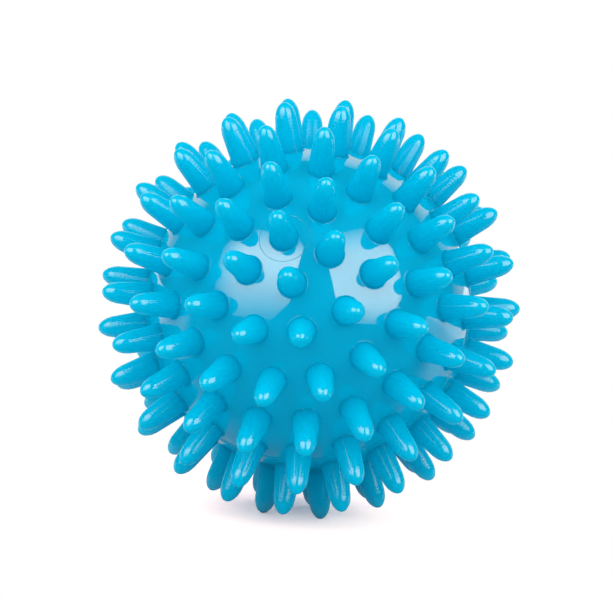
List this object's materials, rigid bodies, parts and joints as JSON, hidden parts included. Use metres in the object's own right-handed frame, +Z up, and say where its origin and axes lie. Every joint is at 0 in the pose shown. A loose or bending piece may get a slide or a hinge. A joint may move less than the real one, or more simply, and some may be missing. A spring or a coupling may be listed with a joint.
{
  "type": "spiky massage ball",
  "caption": "Hollow soft-plastic massage ball in two welded halves, covered in blunt moulded spikes, with a pull-out air plug at one pole.",
  "frame": {"origin": "centre of the ball", "axes": "+Z up from the floor that the ball lies on, with three spikes down; the air plug faces -Y, a little to -X, and up"},
  "size_m": [0.0895, 0.0897, 0.0888],
  "materials": {
    "soft_plastic": "glossy soft PVC, cyan blue"
  },
  "bodies": {
    "ball": {"plug_half_shell": "soft_plastic", "plain_half_shell": "soft_plastic"},
    "plug": {"air_plug": "soft_plastic"}
  },
  "joints": [
    {"name": "plug_pull", "type": "slide", "parent": "ball", "child": "plug", "axis": [-0.1708, -0.8394, 0.5161], "range_m": [0, 0.02]}
  ]
}
